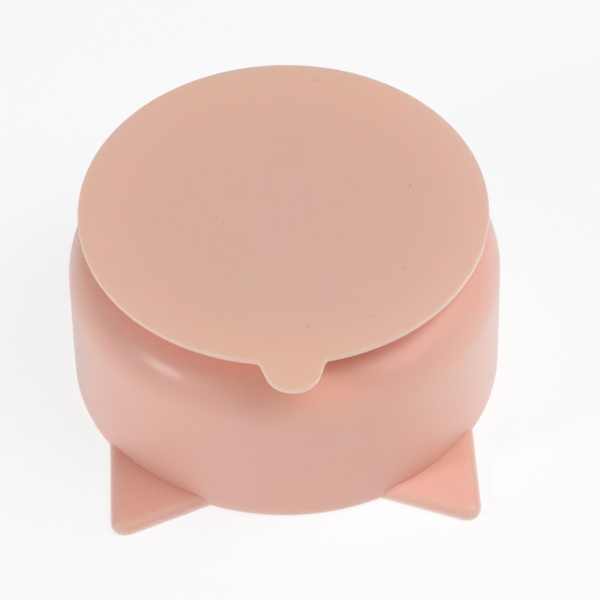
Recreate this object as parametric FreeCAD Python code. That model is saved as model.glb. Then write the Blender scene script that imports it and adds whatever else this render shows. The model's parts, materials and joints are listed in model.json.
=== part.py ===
import FreeCAD, Part
import math
import os

# A soft silicone feeding bowl for a small child, with a suction base and two cat-ear flaps.
# It stands the way it is stored and dried: upside down on its rim, suction disc uppermost.
# Origin: centre of the rim circle, on the surface it stands on. +Z points to the suction disc.
# -Y points to the pull tab, and the ears lie either side of the tab. X = 0 is a plane of symmetry.
# Every length is in millimetres and every angle in degrees.

# Bowl: a nearly upright round wall, a soft shoulder and a flat base.
RIM_RADIUS = 60.0
WALL_LEAN = 0.014
BASE_HEIGHT = 50.0
SHOULDER_RADIUS = 14.2
WALL_THICKNESS = 3.0
BASE_THICKNESS = 3.0
RIM_OUTER_ROUND = 1.5
RIM_INNER_ROUND = 0.8

# Suction disc: a thin round skirt, dished so that it holds a little air, with a flat sealing lip.
DISC_RADIUS = 55.5
LIP_TOP = 59.4
LIP_WIDTH = 5.0
LIP_THICKNESS = 1.3
DISH_DEPTH = 3.4
DISH_CORNER_RADIUS = 23.0
DISH_SWEEP = 370.0
HUB_RADIUS = 25.0
HUB_THICKNESS = 2.2
LIP_SWEEP = 62.0
LIP_ROUND = 0.5

# Neck: the short waist that joins the base to the middle of the disc.
NECK_RADIUS = 19.0
NECK_FLARE = 1.2

# Pull tab: a rounded tongue on the disc's edge, lifted to let air under the disc.
TAB_REACH = 65.4
TAB_ROOT_HALF_WIDTH = 9.7
TAB_END_HALF_WIDTH = 5.5
TAB_END_ROUND = 7.3
TAB_EDGE_ROUND = 0.4
TAB_ROOT_INSET = 4.0
TAB_GAP = 0.35

# Ears: flat triangular flaps that grow out of the rim. One side runs straight back along Y.
EAR_SIDE_X = 50.4
EAR_APEX_Y = -66.0
EAR_INNER_SLOPE = 22.4
EAR_TIP_ROUND = 4.4
EAR_THICKNESS = 3.5
EAR_TOP_ROUND = 2.8
EAR_FOOT_ROUND = 0.5
EAR_ROOT_DEPTH = 30.0

AXIS_POINT = FreeCAD.Vector(0, 0, 0)
UP = FreeCAD.Vector(0, 0, 1)
DISH_FLOOR = LIP_TOP - DISH_DEPTH
HUB_UNDERSIDE = DISH_FLOOR - HUB_THICKNESS


def in_profile(u, v):
    """A point of a turned section: u is the radius, v is the height."""
    return FreeCAD.Vector(u, 0, v)


def in_plan(u, v):
    """A point of an outline that lies on the standing surface."""
    return FreeCAD.Vector(u, v, 0)


def rounded_wire(corners, place):
    """A closed wire round (u, v, radius) corners, each with a tangent arc of its own radius."""
    ends = []
    edges = []
    for index, (u, v, radius) in enumerate(corners):
        corner = place(u, v)
        if radius == 0:
            ends.append((corner, corner))
            continue
        before = place(*corners[index - 1][:2]) - corner
        after = place(*corners[(index + 1) % len(corners)][:2]) - corner
        before.normalize()
        after.normalize()
        half_angle = before.getAngle(after) / 2
        tangent_length = radius / math.tan(half_angle)
        start = corner + before * tangent_length
        finish = corner + after * tangent_length
        inward = before + after
        inward.normalize()
        middle = corner + inward * (radius / math.sin(half_angle) - radius)
        edges.append(Part.Arc(start, middle, finish).toShape())
        ends.append((start, finish))
    for index, (_, finish) in enumerate(ends):
        next_start = ends[(index + 1) % len(ends)][0]
        if finish.distanceToPoint(next_start) > 1e-6:
            edges.append(Part.LineSegment(finish, next_start).toShape())
    return Part.Wire(Part.__sortEdges__(edges))


def turned(corners):
    """The solid that a closed (radius, height) section sweeps in a full turn about Z."""
    section = Part.Face(rounded_wire(corners, in_profile))
    return section.revolve(AXIS_POINT, UP, 360)


def wall_radius(height):
    """The outer radius of the leaning wall at a height, before the shoulder rounds it off."""
    return RIM_RADIUS - WALL_LEAN * height


def bowl_outside():
    """Corners of the bowl's outer surface, from the rim up to the middle of the base."""
    return [
        (wall_radius(0), 0, RIM_OUTER_ROUND),
        (wall_radius(BASE_HEIGHT), BASE_HEIGHT, SHOULDER_RADIUS),
        (0, BASE_HEIGHT, 0),
    ]


def make_bowl_shell():
    """The food bowl itself: wall, shoulder and base in one even skin, open at the rim."""
    ceiling = BASE_HEIGHT - BASE_THICKNESS
    inside = [
        (0, ceiling, 0),
        (wall_radius(ceiling) - WALL_THICKNESS, ceiling, SHOULDER_RADIUS - WALL_THICKNESS),
        (wall_radius(0) - WALL_THICKNESS, 0, RIM_INNER_ROUND),
    ]
    return turned(bowl_outside() + inside)


def make_neck():
    """The waist between base and disc, flared where it meets each of them."""
    foot = NECK_RADIUS + NECK_FLARE
    middle_low = BASE_HEIGHT + NECK_FLARE
    middle_high = HUB_UNDERSIDE - NECK_FLARE
    return turned([
        (0, BASE_HEIGHT, 0),
        (foot, BASE_HEIGHT, 0),
        (NECK_RADIUS, middle_low, 0),
        (NECK_RADIUS, middle_high, 0),
        (foot, HUB_UNDERSIDE, 0),
        (0, HUB_UNDERSIDE, 0),
    ])


def make_suction_disc():
    """The skirt: thick and flat over the neck, thinner outwards, dished on its sealing side."""
    lip_inner = DISC_RADIUS - LIP_WIDTH
    lip_underside = LIP_TOP - LIP_THICKNESS
    return turned([
        (0, HUB_UNDERSIDE, 0),
        (HUB_RADIUS, HUB_UNDERSIDE, LIP_SWEEP),
        (lip_inner, lip_underside, LIP_SWEEP),
        (DISC_RADIUS, lip_underside, LIP_ROUND),
        (DISC_RADIUS, LIP_TOP, LIP_ROUND),
        (lip_inner, LIP_TOP, LIP_SWEEP),
        (DISH_CORNER_RADIUS, DISH_FLOOR, DISH_SWEEP),
        (0, DISH_FLOOR, 0),
    ])


def make_pull_tab():
    """The tongue on the disc's edge, as thick as the lip, with every outer edge eased."""
    root_y = TAB_ROOT_INSET - DISC_RADIUS
    outline = rounded_wire([
        (-TAB_ROOT_HALF_WIDTH, root_y, 0),
        (-TAB_END_HALF_WIDTH, -TAB_REACH, TAB_END_ROUND),
        (TAB_END_HALF_WIDTH, -TAB_REACH, TAB_END_ROUND),
        (TAB_ROOT_HALF_WIDTH, root_y, 0),
    ], in_plan)
    tongue = Part.Face(outline).extrude(UP * LIP_THICKNESS)
    tongue = eased(tongue, TAB_EDGE_ROUND, 0)
    tongue = eased(tongue, TAB_EDGE_ROUND, LIP_THICKNESS)
    tongue.translate(UP * (LIP_TOP - LIP_THICKNESS))
    disc_room = Part.makeCylinder(DISC_RADIUS + TAB_GAP, BASE_HEIGHT, UP * BASE_HEIGHT)
    return tongue.cut(disc_room)


def eased(flat_solid, radius, height):
    """A flat solid with the outline edges of its face at this height rounded off."""
    faces = [face for face in flat_solid.Faces if abs(face.normalAt(0, 0).z) > 0.999]
    level = min(faces, key=lambda face: abs(face.CenterOfMass.z - height))
    return flat_solid.makeFillet(radius, level.Edges)


def make_ear(side):
    """One ear flap, from the wall out to its rounded tip. side is 1 for +X and -1 for -X."""
    run = EAR_SIDE_X
    rise = run * math.tan(math.radians(EAR_INNER_SLOPE))
    outline = rounded_wire([
        (side * EAR_SIDE_X, EAR_APEX_Y, EAR_TIP_ROUND),
        (side * EAR_SIDE_X, -EAR_ROOT_DEPTH, 0),
        (0, -EAR_ROOT_DEPTH, 0),
        (0, EAR_APEX_Y + rise, 0),
    ], in_plan)
    flap = Part.Face(outline).extrude(UP * EAR_THICKNESS)
    flap = eased(flap, EAR_FOOT_ROUND, 0)
    flap = eased(flap, EAR_TOP_ROUND, EAR_THICKNESS)
    bowl_room = turned(bowl_outside() + [(0, 0, 0)])
    return flap.cut(bowl_room)


def main():
    """Build every piece, report its size and write it."""
    pieces = {
        "bowl_shell": make_bowl_shell(),
        "neck": make_neck(),
        "suction_disc": make_suction_disc(),
        "pull_tab": make_pull_tab(),
        "ear_left": make_ear(-1),
        "ear_right": make_ear(1),
    }
    os.makedirs("parts", exist_ok=True)
    for name, shape in pieces.items():
        box = shape.optimalBoundingBox()
        print(
            f"{name}: valid {shape.isValid()}, solids {len(shape.Solids)}, "
            f"{shape.Volume:.0f} mm3, x {box.XMin:.2f} to {box.XMax:.2f}, "
            f"y {box.YMin:.2f} to {box.YMax:.2f}, z {box.ZMin:.2f} to {box.ZMax:.2f}"
        )
        shape.exportStep(f"parts/{name}.step")


main()
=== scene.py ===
import json
import logging
import math
from dataclasses import dataclass, field
from enum import Enum

import bmesh
import bpy
from mathutils import Matrix, Vector
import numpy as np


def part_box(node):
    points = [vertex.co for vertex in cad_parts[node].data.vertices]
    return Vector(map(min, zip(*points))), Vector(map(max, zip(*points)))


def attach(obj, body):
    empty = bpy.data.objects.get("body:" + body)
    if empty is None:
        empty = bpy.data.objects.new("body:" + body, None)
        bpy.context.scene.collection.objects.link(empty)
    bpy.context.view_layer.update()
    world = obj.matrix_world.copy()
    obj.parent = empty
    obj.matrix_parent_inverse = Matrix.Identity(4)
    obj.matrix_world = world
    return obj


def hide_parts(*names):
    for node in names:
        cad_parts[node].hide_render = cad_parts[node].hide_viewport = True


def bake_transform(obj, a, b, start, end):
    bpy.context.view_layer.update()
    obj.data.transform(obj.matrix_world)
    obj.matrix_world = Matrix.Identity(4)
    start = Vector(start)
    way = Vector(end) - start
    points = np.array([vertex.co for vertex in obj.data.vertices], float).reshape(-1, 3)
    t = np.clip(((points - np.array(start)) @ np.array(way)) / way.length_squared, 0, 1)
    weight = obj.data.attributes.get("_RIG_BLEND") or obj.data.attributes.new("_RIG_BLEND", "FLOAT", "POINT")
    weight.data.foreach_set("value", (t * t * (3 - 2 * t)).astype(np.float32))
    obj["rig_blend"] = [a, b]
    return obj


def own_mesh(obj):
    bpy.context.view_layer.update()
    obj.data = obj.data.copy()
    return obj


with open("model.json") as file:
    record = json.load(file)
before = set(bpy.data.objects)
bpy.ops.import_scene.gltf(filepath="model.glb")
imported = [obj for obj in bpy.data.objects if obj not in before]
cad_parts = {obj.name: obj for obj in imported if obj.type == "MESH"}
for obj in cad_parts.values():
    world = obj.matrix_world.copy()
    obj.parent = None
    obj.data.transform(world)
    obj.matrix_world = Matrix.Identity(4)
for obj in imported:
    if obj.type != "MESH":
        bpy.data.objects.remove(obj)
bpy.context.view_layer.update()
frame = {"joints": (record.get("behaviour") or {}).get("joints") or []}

LOG = logging.getLogger("suction_bowl")
MM = 0.001
SAME_PLACE_M = 1e-6
SHARP_FOLD_RAD = 0.7


class Body(Enum):
    """The moving bodies of the CAD frame."""

    BOWL = "bowl"
    DISC = "disc"
    TAB = "tab"


class Slot(Enum):
    """The record's material slots."""

    BOWL = "bowl_silicone"
    SUCTION = "suction_silicone"


class Plane(Enum):
    """The plane that an outline is drawn in: a turned section, or a plan seen from above."""

    SECTION = "section"
    PLAN = "plan"

    def point(self, u: float, v: float) -> Vector:
        """The place of (u, v) millimetres, in metres."""
        return Vector((u, 0, v)) * MM if self is Plane.SECTION else Vector((u, v, 0)) * MM


@dataclass(frozen=True)
class Corner:
    """One corner of an outline, in millimetres, rounded by a tangent arc.

    Args:
        u: radius in a section, X in a plan.
        v: height in a section, Y in a plan.
        radius: radius of the arc, 0 for a sharp corner.
        segments: number of straight steps that make the arc.
    """

    u: float
    v: float
    radius: float = 0.0
    segments: int = 8


@dataclass(frozen=True)
class NodeBox:
    """The box of a CAD node at rest, in millimetres."""

    low: Vector
    high: Vector

    @classmethod
    def of(cls, node: str) -> "NodeBox":
        """The box of the node of that name."""
        low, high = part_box(node)
        return cls(low / MM, high / MM)


def draw_outline(bm: bmesh.types.BMesh, corners: list[Corner], plane: Plane, closed: bool) -> None:
    """Draw a wire through the corners and round each one that has a radius.

    Args:
        bm: the mesh that the wire is added to.
        corners: the corners in order.
        plane: the plane that they lie in.
        closed: whether the last corner is joined to the first.
    """
    points = [bm.verts.new(plane.point(corner.u, corner.v)) for corner in corners]
    followers = points[1:] + points[:1] if closed else points[1:]
    for point, follower in zip(points, followers):
        bm.edges.new((point, follower))
    for point, corner in zip(points, corners):
        if corner.radius:
            before, after = (edge.other_vert(point).co - point.co for edge in point.link_edges)
            bmesh.ops.bevel(
                bm, geom=[point], offset=corner.radius * MM / math.tan(before.angle(after) / 2),
                offset_type="OFFSET", segments=corner.segments, profile=0.5, affect="VERTICES",
                clamp_overlap=False, material=-1,
            )


def divide_long_edges(bm: bmesh.types.BMesh, longest: float) -> None:
    """Cut every edge so that no step is longer than a length in millimetres."""
    by_cuts: dict[int, list[bmesh.types.BMEdge]] = {}
    for edge in bm.edges:
        cuts = math.ceil(edge.calc_length() / (longest * MM)) - 1
        if cuts > 0:
            by_cuts.setdefault(cuts, []).append(edge)
    for cuts, edges in by_cuts.items():
        bmesh.ops.subdivide_edges(bm, edges=edges, cuts=cuts)


def turn_section(corners: list[Corner], steps: int, longest: float) -> bmesh.types.BMesh:
    """Sweep a section a full turn about Z.

    Args:
        corners: the section, from the axis round to the axis.
        steps: number of steps in the turn.
        longest: longest step along the section, in millimetres.

    Returns:
        The closed mesh.
    """
    bm = bmesh.new()
    draw_outline(bm, corners, Plane.SECTION, closed=False)
    divide_long_edges(bm, longest)
    bmesh.ops.spin(
        bm, geom=bm.verts[:] + bm.edges[:], cent=(0, 0, 0), axis=(0, 0, 1), dvec=(0, 0, 0),
        angle=math.tau, steps=steps, use_merge=True, use_duplicate=False,
    )
    bmesh.ops.remove_doubles(bm, verts=bm.verts, dist=SAME_PLACE_M / 10)
    bmesh.ops.recalc_face_normals(bm, faces=bm.faces)
    return bm


def add_piece(name: str, bm: bmesh.types.BMesh, finish: bpy.types.Material) -> bpy.types.Object:
    """Make a smooth-shaded object of a finished mesh and dress it.

    Args:
        name: the piece's name.
        bm: its mesh, which is freed.
        finish: its material.

    Returns:
        The object, at the origin.
    """
    mesh = bpy.data.meshes.new(name)
    bm.to_mesh(mesh)
    bm.free()
    mesh.shade_smooth()
    mesh.materials.append(finish)
    piece = bpy.data.objects.new(name, mesh)
    bpy.context.scene.collection.objects.link(piece)
    LOG.info("%s: %d faces", name, len(mesh.polygons))
    return piece


def fuse(body: bpy.types.Object, growths: list[bpy.types.Object], sharp_angle: float) -> None:
    """Fuse closed pieces into one skin, and remove the pieces that went into it.

    Args:
        body: the piece that takes in the others.
        growths: the others.
        sharp_angle: angle in degrees above which a fold is shaded as a crease.
    """
    for growth in growths:
        union = body.modifiers.new(growth.name, "BOOLEAN")
        union.operation = "UNION"
        union.solver = "MANIFOLD"
        union.object = growth
    evaluated = body.evaluated_get(bpy.context.evaluated_depsgraph_get())
    skin = bpy.data.meshes.new_from_object(evaluated)
    body.modifiers.clear()
    parts = [body.data, *(growth.data for growth in growths)]
    body.data = skin
    for part in parts:
        bpy.data.meshes.remove(part)
    skin.name = body.name
    skin.set_sharp_from_angle(angle=math.radians(sharp_angle))
    LOG.info("%s: %d faces after fusing", body.name, len(skin.polygons))


def linear(hex_colour: str) -> tuple[float, float, float, float]:
    """The linear RGBA of an sRGB hex colour such as #E0A08C."""
    channels = (int(hex_colour[place : place + 2], 16) / 255 for place in (1, 3, 5))
    red, green, blue = (
        value / 12.92 if value <= 0.04045 else ((value + 0.055) / 1.055) ** 2.4 for value in channels
    )
    return red, green, blue, 1.0


def add_node(
    tree: bpy.types.NodeTree, kind: str, inputs: dict[str | int, object], **settings: object,
) -> bpy.types.Node:
    """Add a node, set its properties, and set or link its inputs.

    Args:
        tree: the node tree.
        kind: the node's type.
        inputs: values, or output sockets to link from, by input name or index.
        settings: the node's own properties.

    Returns:
        The node.
    """
    node = tree.nodes.new(kind)
    for key, value in settings.items():
        setattr(node, key, value)
    for key, value in inputs.items():
        if isinstance(value, bpy.types.NodeSocket):
            tree.links.new(value, node.inputs[key])
        else:
            node.inputs[key].default_value = value
    return node


@dataclass(frozen=True)
class Silicone:
    """Liquid silicone rubber, moulded in a finely spark-eroded tool.

    Cured silicone is milky and lets light wander a few millimetres through it, so thin edges look
    pale and folds look warm. The eroded tool leaves a satin skin that spreads every reflection.
    """

    name: str
    pigment: str
    pigment_drift: str
    roughness: tuple[float, float]
    scatter_mm: tuple[float, float, float]
    scatter_share: float
    haze: float = 0.7
    haze_roughness: float = 0.35
    dust: str = "#8F6A60"
    refraction: float = 1.41
    drift_mm: float = 34.0
    grain_mm: float = 0.55
    grain_height_mm: float = 0.006
    dust_spacing_mm: float = 17.0
    dust_radius_mm: float = 0.4
    dust_strength: float = 0.3

    def make(self) -> bpy.types.Material:
        """Build the material's nodes."""
        material = bpy.data.materials.new(self.name)
        material.use_nodes = True
        tree = material.node_tree
        tree.nodes.clear()
        place = add_node(tree, "ShaderNodeTexCoord", {}).outputs["Object"]
        drift = add_node(
            tree, "ShaderNodeTexNoise",
            {"Vector": place, "Scale": 1 / (self.drift_mm * MM), "Detail": 2.0, "Roughness": 0.4},
        )
        spread = add_node(
            tree, "ShaderNodeMapRange",
            {"Value": drift.outputs[0], "From Min": 0.35, "From Max": 0.65},
            interpolation_type="SMOOTHSTEP",
        )
        pigment = add_node(
            tree, "ShaderNodeMix",
            {0: spread.outputs[0], 6: linear(self.pigment), 7: linear(self.pigment_drift)},
            data_type="RGBA",
        )
        dusty = add_node(
            tree, "ShaderNodeMix",
            {0: self.dust_mask(tree, place), 6: pigment.outputs[2], 7: linear(self.dust)},
            data_type="RGBA",
        )
        grain = add_node(
            tree, "ShaderNodeTexNoise",
            {"Vector": place, "Scale": 1 / (self.grain_mm * MM), "Detail": 3.0, "Roughness": 0.55},
        )
        relief = add_node(
            tree, "ShaderNodeBump",
            {"Height": grain.outputs[0], "Distance": self.grain_height_mm * MM, "Strength": 1.0},
        )
        sheen = add_node(
            tree, "ShaderNodeMapRange",
            {"Value": drift.outputs[0], "To Min": self.roughness[0], "To Max": self.roughness[1]},
        )
        skin = add_node(
            tree, "ShaderNodeBsdfPrincipled",
            {
                "Base Color": dusty.outputs[2],
                "Roughness": sheen.outputs[0],
                "IOR": self.refraction,
                "Normal": relief.outputs[0],
                "Sheen Weight": self.haze,
                "Sheen Roughness": self.haze_roughness,
                "Subsurface Weight": self.scatter_share,
                "Subsurface Radius": self.scatter_mm,
                "Subsurface Scale": MM,
            },
            subsurface_method="RANDOM_WALK",
        )
        add_node(tree, "ShaderNodeOutputMaterial", {"Surface": skin.outputs[0]})
        return material

    def dust_mask(self, tree: bpy.types.NodeTree, place: bpy.types.NodeSocket) -> bpy.types.NodeSocket:
        """Draw a few specks of dust, where the middles of a Voronoi pattern's cells meet the skin.

        Args:
            tree: the material's node tree.
            place: the Object coordinates.

        Returns:
            The share of dust, from 0 to dust_strength.
        """
        cells = add_node(
            tree, "ShaderNodeTexVoronoi", {"Vector": place, "Scale": 1 / (self.dust_spacing_mm * MM)},
        )
        dot = add_node(
            tree, "ShaderNodeMapRange",
            {
                "Value": cells.outputs["Distance"],
                "From Min": 0.6 * self.dust_radius_mm / self.dust_spacing_mm,
                "From Max": 1.4 * self.dust_radius_mm / self.dust_spacing_mm,
                "To Min": self.dust_strength,
                "To Max": 0.0,
            },
        )
        return dot.outputs[0]


@dataclass
class BowlMoulding:
    """The food bowl and the two ear flaps on its rim, in millimetres."""

    shell: NodeBox = field(default_factory=lambda: NodeBox.of("bowl_shell"))
    wall_lean: float = 0.014
    rim_radius: float = 60.0
    wall_thickness: float = 3.0
    base_thickness: float = 3.0
    shoulder_radius: float = 14.2
    rim_outer_round: float = 1.5
    rim_inner_round: float = 0.8
    turn_steps: int = 240
    longest_step: float = 3.0
    ear_tip_round: float = 4.4
    ear_apex_y: float = -66.0
    ear_inner_slope: float = 22.4
    ear_top_round: float = 2.8
    ear_foot_round: float = 0.5
    ear_root_depth: float = 1.6
    ear_root_steps: int = 16
    ear_longest_step: float = 2.0
    ear_border: float = 0.3
    crease_angle: float = 40.0

    def wall_radius(self, height: float) -> float:
        """The outer radius of the leaning wall at a height."""
        return self.rim_radius - self.wall_lean * height

    def make_shell(self, finish: bpy.types.Material) -> bpy.types.Object:
        """The skin of the bowl, turned from one closed section."""
        base = self.shell.high.z
        ceiling = base - self.base_thickness
        outer = self.shoulder_radius
        inner = self.shoulder_radius - self.wall_thickness
        section = [
            Corner(0, base),
            Corner(self.wall_radius(base), base, outer, segments=24),
            Corner(self.wall_radius(0), 0, self.rim_outer_round, segments=6),
            Corner(self.wall_radius(0) - self.wall_thickness, 0, self.rim_inner_round, segments=5),
            Corner(self.wall_radius(ceiling) - self.wall_thickness, ceiling, inner, segments=18),
            Corner(0, ceiling),
        ]
        bm = turn_section(section, self.turn_steps, self.longest_step)
        return add_piece("bowl_skin", bm, finish)

    def side_point(self, side_x: float, radius: float) -> tuple[float, float]:
        """Where an ear's slanting inner side crosses a circle about the bowl's axis.

        Args:
            side_x: X of the ear's straight outer side.
            radius: radius of the circle.

        Returns:
            X and Y, both in millimetres, for the ear on +X.
        """
        slope = math.tan(math.radians(self.ear_inner_slope))
        start = self.ear_apex_y + side_x * slope
        square = 1 + slope**2
        half_linear = -slope * start
        x = (-half_linear + math.sqrt(half_linear**2 - square * (start**2 - radius**2))) / square
        return x, start - slope * x

    def ear_outline(self, side: int, side_x: float) -> list[Corner]:
        """Work out the plan of an ear: two sides, a rounded tip, and a root just inside the wall.

        Args:
            side: 1 for the ear on +X, -1 for the ear on -X.
            side_x: distance of the ear's straight outer side from X = 0.

        Returns:
            The corners in order.
        """
        root_radius = self.rim_radius - self.ear_root_depth
        inner_x, inner_y = self.side_point(side_x, root_radius)
        first = math.atan2(-math.sqrt(root_radius**2 - side_x**2), side_x)
        last = math.atan2(inner_y, inner_x)
        steps = self.ear_root_steps
        turns = [first + (last - first) * step / steps for step in range(steps + 1)]
        root = [Corner(side * root_radius * math.cos(turn), root_radius * math.sin(turn)) for turn in turns]
        return [Corner(side * side_x, self.ear_apex_y, self.ear_tip_round, segments=14), *root]

    def make_ear(self, side: int, node: str, finish: bpy.types.Material) -> bpy.types.Object:
        """One ear flap: a rounded triangle that runs a little way into the wall.

        Args:
            side: 1 for the ear on +X, -1 for the ear on -X.
            node: the CAD node that it stands for.
            finish: its material.

        Returns:
            The ear.
        """
        box = NodeBox.of(node)
        side_x = max(abs(box.low.x), abs(box.high.x))
        bm = bmesh.new()
        draw_outline(bm, self.ear_outline(side, side_x), Plane.PLAN, closed=True)
        divide_long_edges(bm, self.ear_longest_step)
        foot = bmesh.ops.contextual_create(bm, geom=bm.edges[:])["faces"]
        raised = bmesh.ops.extrude_face_region(bm, geom=foot)["geom"]
        lifted = [item for item in raised if isinstance(item, bmesh.types.BMVert)]
        bmesh.ops.translate(bm, verts=lifted, vec=Vector((0, 0, box.high.z * MM)))
        bmesh.ops.recalc_face_normals(bm, faces=bm.faces)
        self.round_ear(bm, 0.0, self.ear_foot_round, 3)
        self.round_ear(bm, box.high.z, self.ear_top_round, 8)
        return add_piece(f"{node}_flap", bm, finish)

    def round_ear(self, bm: bmesh.types.BMesh, height: float, radius: float, segments: int) -> None:
        """Round an ear's free edge at a height, and hold the flat face's shading with a narrow border.

        Args:
            bm: the ear.
            height: height of the edge, in millimetres.
            radius: radius of the rounding.
            segments: steps in the rounding.
        """
        buried = (self.rim_radius - self.ear_root_depth / 2) * MM
        free = [
            edge
            for edge in bm.edges
            if all(abs(vert.co.z - height * MM) < SAME_PLACE_M for vert in edge.verts)
            and any(vert.co.xy.length > buried for vert in edge.verts)
        ]
        bmesh.ops.bevel(
            bm, geom=free, offset=radius * MM, offset_type="OFFSET", segments=segments, profile=0.5,
            affect="EDGES", clamp_overlap=False, material=-1,
        )
        flat = max(
            (face for face in bm.faces if abs(face.calc_center_median().z - height * MM) < SAME_PLACE_M * 10),
            key=lambda face: face.calc_area(),
        )
        bmesh.ops.inset_region(bm, faces=[flat], thickness=self.ear_border * MM, use_even_offset=True)

    def make(self, finish: bpy.types.Material) -> None:
        """Build and dress the bowl with both ears, one moulding with a crease at each ear's root."""
        bowl = self.make_shell(finish)
        ears = [self.make_ear(-1, "ear_left", finish), self.make_ear(1, "ear_right", finish)]
        fuse(bowl, ears, self.crease_angle)
        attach(bowl, Body.BOWL.value)
        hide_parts("bowl_shell", "ear_left", "ear_right")


@dataclass
class SuctionBase:
    """The neck, and the thin dished disc with its pull tab, in millimetres."""

    disc: NodeBox = field(default_factory=lambda: NodeBox.of("suction_disc"))
    tab: NodeBox = field(default_factory=lambda: NodeBox.of("pull_tab"))
    neck: NodeBox = field(default_factory=lambda: NodeBox.of("neck"))
    lip_width: float = 5.0
    dish_depth: float = 3.4
    dish_corner_radius: float = 23.0
    dish_sweep: float = 370.0
    hub_radius: float = 25.0
    lip_sweep: float = 62.0
    edge_round: float = 0.5
    turn_steps: int = 240
    longest_step: float = 3.0
    tab_steps: int = 12
    tab_rows: int = 4
    tab_end_radius: float = 7.4
    tab_root_round: float = 1.0
    tab_bend: float = 2.6
    neck_waist: float = 1.4
    neck_bite: float = 0.3
    neck_turn_steps: int = 96

    def dish_section(self) -> list[Corner]:
        """The disc's section with a square edge: sealing side out to the lip, then back underneath."""
        lip = self.disc.high.x
        top = self.disc.high.z
        under = self.tab.low.z
        lip_inner = lip - self.lip_width
        floor = top - self.dish_depth
        return [
            Corner(0, floor),
            Corner(self.dish_corner_radius, floor, self.dish_sweep, segments=12),
            Corner(lip_inner, top, self.lip_sweep, segments=5),
            Corner(lip, top),
            Corner(lip, under),
            Corner(lip_inner, under, self.lip_sweep, segments=5),
            Corner(self.hub_radius, self.disc.low.z, self.lip_sweep, segments=5),
            Corner(0, self.disc.low.z),
        ]

    def grow_tab(self, bm: bmesh.types.BMesh) -> None:
        """Draw the pull tab out of the disc's edge, row by row, from the rim to a round end."""
        rim = self.disc.high.x
        half_turn = math.pi * self.tab_steps / self.turn_steps
        root_corner = Vector((math.sin(half_turn), -math.cos(half_turn))) * rim
        end_centre = Vector((0, self.tab.low.y + self.tab_end_radius))
        to_corner = root_corner - end_centre
        sweep = math.atan2(to_corner.x, -to_corner.y) - math.acos(self.tab_end_radius / to_corner.length)
        across = bm.verts.layers.float.new("across")
        grown = [
            face
            for face in bm.faces
            if abs(face.normal.z) < 0.5
            and abs(math.atan2(*face.calc_center_median().xy * Vector((1, -1)))) < half_turn
        ]
        verts = {vert for face in grown for vert in face.verts}
        for vert in verts:
            vert[across] = math.atan2(vert.co.x, -vert.co.y) / half_turn
        region = [*grown, *verts, *{edge for face in grown for edge in face.edges}]
        for row in range(1, self.tab_rows + 1):
            region = bmesh.ops.extrude_face_region(bm, geom=region)["geom"]
            for vert in (item for item in region if isinstance(item, bmesh.types.BMVert)):
                turn = vert[across] * half_turn
                at_rim = Vector((math.sin(turn), -math.cos(turn))) * rim
                turn = vert[across] * sweep
                at_end = end_centre + Vector((math.sin(turn), -math.cos(turn))) * self.tab_end_radius
                vert.co.xy = at_rim.lerp(at_end, row / self.tab_rows) * MM
        bm.verts.layers.float.remove(across)
        bm.normal_update()

    def round_edges(self, bm: bmesh.types.BMesh) -> None:
        """Round the two corners where the tab leaves the rim, then the whole outline, top and bottom."""
        for upright, radius in ((True, self.tab_root_round), (False, self.edge_round)):
            folds = [
                edge
                for edge in bm.edges
                if edge.calc_face_angle(0) > SHARP_FOLD_RAD
                and (abs(edge.verts[0].co.z - edge.verts[1].co.z) > self.edge_round * MM) is upright
            ]
            bmesh.ops.bevel(
                bm, geom=folds, offset=radius * MM, offset_type="OFFSET", segments=5, profile=0.5,
                affect="EDGES", clamp_overlap=True, material=-1,
            )

    def make_disc(self, finish: bpy.types.Material) -> bpy.types.Object:
        """The disc and its tab, one skin that bends where the tab leaves the rim."""
        bm = turn_section(self.dish_section(), self.turn_steps, self.longest_step)
        self.grow_tab(bm)
        self.round_edges(bm)
        disc = add_piece("suction_disc_and_tab", bm, finish)
        hinge = next(joint for joint in frame["joints"] if joint["child"] == Body.TAB.value)
        bend = Vector((0, self.tab_bend * MM, 0))
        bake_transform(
            disc, Body.DISC.value, Body.TAB.value, start=Vector(hinge["pos_m"]) + bend,
            end=Vector(hinge["pos_m"]) - bend,
        )
        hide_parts("suction_disc", "pull_tab")
        return disc

    def make_neck(self, finish: bpy.types.Material) -> bpy.types.Object:
        """The waist under the disc. The real one is squeezed as the disc is pressed down; this one rides with
        the bowl and keeps its shape.
        """
        low = self.neck.low.z - self.neck_bite
        high = self.neck.high.z + self.neck_bite
        foot = self.neck.high.x
        section = [
            Corner(0, high),
            Corner(foot, high),
            Corner(foot - self.neck_waist, (low + high) / 2, self.neck_waist, segments=6),
            Corner(foot, low),
            Corner(0, low),
        ]
        bm = turn_section(section, self.neck_turn_steps, self.longest_step)
        neck = add_piece("neck_waist", bm, finish)
        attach(neck, Body.BOWL.value)
        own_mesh(neck)
        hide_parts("neck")
        return neck

    def make(self, disc_finish: bpy.types.Material, neck_finish: bpy.types.Material) -> None:
        """Build and dress the neck and the disc."""
        self.make_neck(neck_finish)
        self.make_disc(disc_finish)


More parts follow.
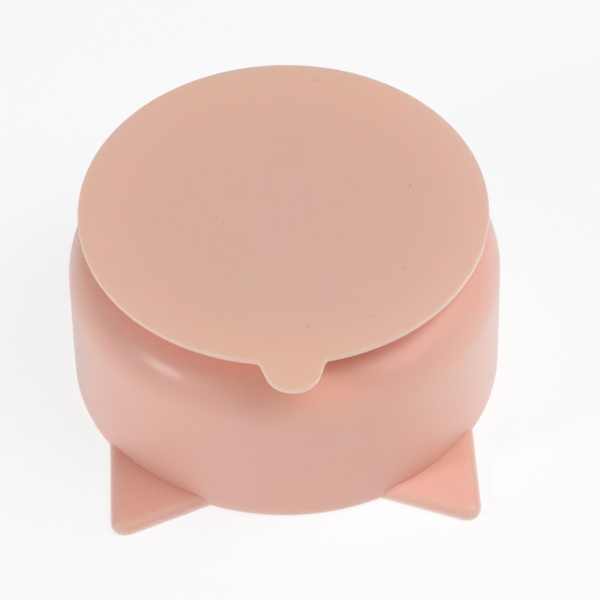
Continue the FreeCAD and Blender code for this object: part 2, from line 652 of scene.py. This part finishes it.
@dataclass(frozen=True)
class SoftBox:
    """A square studio light that faces the bowl.

    Args:
        name: the light's name.
        azimuth: where it stands, in degrees anticlockwise from +X seen from above.
        elevation: its height above the horizon, in degrees.
        distance_mm: how far it is from the bowl.
        side_mm: the length of its side.
        power: its power in watts.
    """

    name: str
    azimuth: float
    elevation: float
    distance_mm: float
    side_mm: float
    power: float

    def place(self, target: Vector) -> bpy.types.Object:
        """Put the light in the scene, facing the target."""
        lamp = bpy.data.lights.new(self.name, "AREA")
        lamp.size = self.side_mm * MM
        lamp.energy = self.power
        around = math.radians(self.azimuth)
        above = math.radians(self.elevation)
        level = math.cos(above)
        out = Vector((math.cos(around) * level, math.sin(around) * level, math.sin(above)))
        facing = out.to_track_quat("Z", "Y").to_matrix().to_4x4()
        light = bpy.data.objects.new(self.name, lamp)
        light.matrix_world = Matrix.Translation(target + out * self.distance_mm * MM) @ facing
        bpy.context.scene.collection.objects.link(light)
        return light


@dataclass
class Studio:
    """The pale floor, the lights and the camera. Lights are given as SoftBox fields in their order."""

    boxes: tuple[SoftBox, ...] = (
        SoftBox("right_box", -10, 54, 900, 700, 4.95),
        SoftBox("left_box", 206, 28, 900, 120, 2.35),
        SoftBox("front_box", 262, 30, 1000, 600, 0.08),
        SoftBox("top_box", 300, 78, 1000, 900, 1.35),
        SoftBox("back_box", 90, 30, 1000, 900, 1.35),
    )
    sky: float = 0.03
    wall_brightness: float = 0.8
    floor_side_mm: float = 8000.0
    floor_colour: str = "#8A8A8C"
    floor_glow: float = 0.765
    floor_gap: float = 0.15
    camera_distance_mm: float = 890.0
    camera_elevation: float = 48.72
    camera_turn: float = -1.55
    aim_tilt: float = -0.943
    aim_pan: float = 0.399
    aim_roll: float = -1.006
    lens_mm: float = 187.5
    sensor_mm: float = 36.0
    aim_height_mm: float = 30.0

    def make_floor(self) -> None:
        """A plain pale floor just under the rim: matt paper lit from below, so shadows stay faint."""
        bm = bmesh.new()
        bmesh.ops.create_grid(bm, x_segments=1, y_segments=1, size=self.floor_side_mm * MM / 2)
        bmesh.ops.translate(bm, verts=bm.verts, vec=Vector((0, 0, -self.floor_gap * MM)))
        paper = bpy.data.materials.new("floor_paper")
        paper.use_nodes = True
        tree = paper.node_tree
        tree.nodes.clear()
        surface = add_node(
            tree, "ShaderNodeBsdfPrincipled",
            {
                "Base Color": linear(self.floor_colour),
                "Roughness": 0.9,
                "Specular IOR Level": 0.0,
                "Emission Color": (1, 1, 1, 1),
                "Emission Strength": self.floor_glow,
            },
        )
        add_node(tree, "ShaderNodeOutputMaterial", {"Surface": surface.outputs[0]})
        floor = add_piece("floor", bm, paper)

    def make_camera(self) -> None:
        """The camera: above and in front of the bowl, a long way off, through a long lens."""
        above = math.radians(self.camera_elevation)
        tilt = above + math.radians(self.aim_tilt)
        pan = math.radians(self.aim_pan)
        roll = math.radians(self.aim_roll)
        place = Vector((0, -math.cos(above), math.sin(above))) * self.camera_distance_mm * MM
        ahead = Vector((math.sin(pan) * math.cos(tilt), math.cos(pan) * math.cos(tilt), -math.sin(tilt)))
        level = ahead.cross(Vector((0, 0, 1))).normalized()
        upright = level.cross(ahead)
        right = level * math.cos(roll) + upright * math.sin(roll)
        top = upright * math.cos(roll) - level * math.sin(roll)
        turn = Matrix((right, top, -ahead)).transposed().to_4x4()
        lens = bpy.data.cameras.new("camera")
        lens.lens = self.lens_mm
        lens.sensor_width = self.sensor_mm
        lens.clip_start = 10 * MM
        camera = bpy.data.objects.new("camera", lens)
        around_bowl = Matrix.Rotation(math.radians(self.camera_turn), 4, "Z")
        camera.matrix_world = around_bowl @ Matrix.Translation(place) @ turn
        bpy.context.scene.collection.objects.link(camera)
        bpy.context.scene.camera = camera

    def make_sky(self) -> None:
        """Faint white light from everywhere, in front of a pale wall that shows only behind the floor."""
        world = bpy.data.worlds.new("white_room")
        world.use_nodes = True
        tree = world.node_tree
        tree.nodes.clear()
        seen = add_node(tree, "ShaderNodeLightPath", {}).outputs["Is Camera Ray"]
        strength = add_node(
            tree, "ShaderNodeMapRange", {"Value": seen, "To Min": self.sky, "To Max": self.wall_brightness},
        )
        room = add_node(
            tree, "ShaderNodeBackground", {"Color": (1, 1, 1, 1), "Strength": strength.outputs[0]},
        )
        add_node(tree, "ShaderNodeOutputWorld", {"Surface": room.outputs[0]})
        bpy.context.scene.world = world

    def make(self) -> None:
        """Set up the floor, the lights, the camera and plain colour handling."""
        self.make_floor()
        self.make_sky()
        for box in self.boxes:
            box.place(Vector((0, 0, self.aim_height_mm * MM)))
        self.make_camera()
        bpy.context.scene.view_settings.view_transform = "Standard"


def main() -> None:
    """Build the bowl, its suction base and the studio."""
    logging.basicConfig(level=logging.INFO, format="%(name)s: %(message)s")
    # The bowl's skin is a little smoother, so the shoulder carries a soft streak of light.
    bowl_silicone = Silicone(
        name="bowl_silicone_satin", pigment="#F6C5B7", pigment_drift="#F6C5B3", roughness=(0.3, 0.38),
        scatter_mm=(2.8, 5.0, 5.6), scatter_share=1.0,
    ).make()
    # The disc's face is more matt and thinner, so it shows an even tone with a paler edge.
    disc_silicone = Silicone(
        name="disc_silicone_satin", pigment="#FEC9B9", pigment_drift="#FEC9B5", roughness=(0.46, 0.56),
        scatter_mm=(1.4, 2.6, 2.8), scatter_share=1.0, dust_spacing_mm=11.0,
    ).make()
    BowlMoulding().make(bowl_silicone)
    SuctionBase().make(disc_silicone, bowl_silicone)
    Studio().make()


if __name__ == "__main__":
    main()
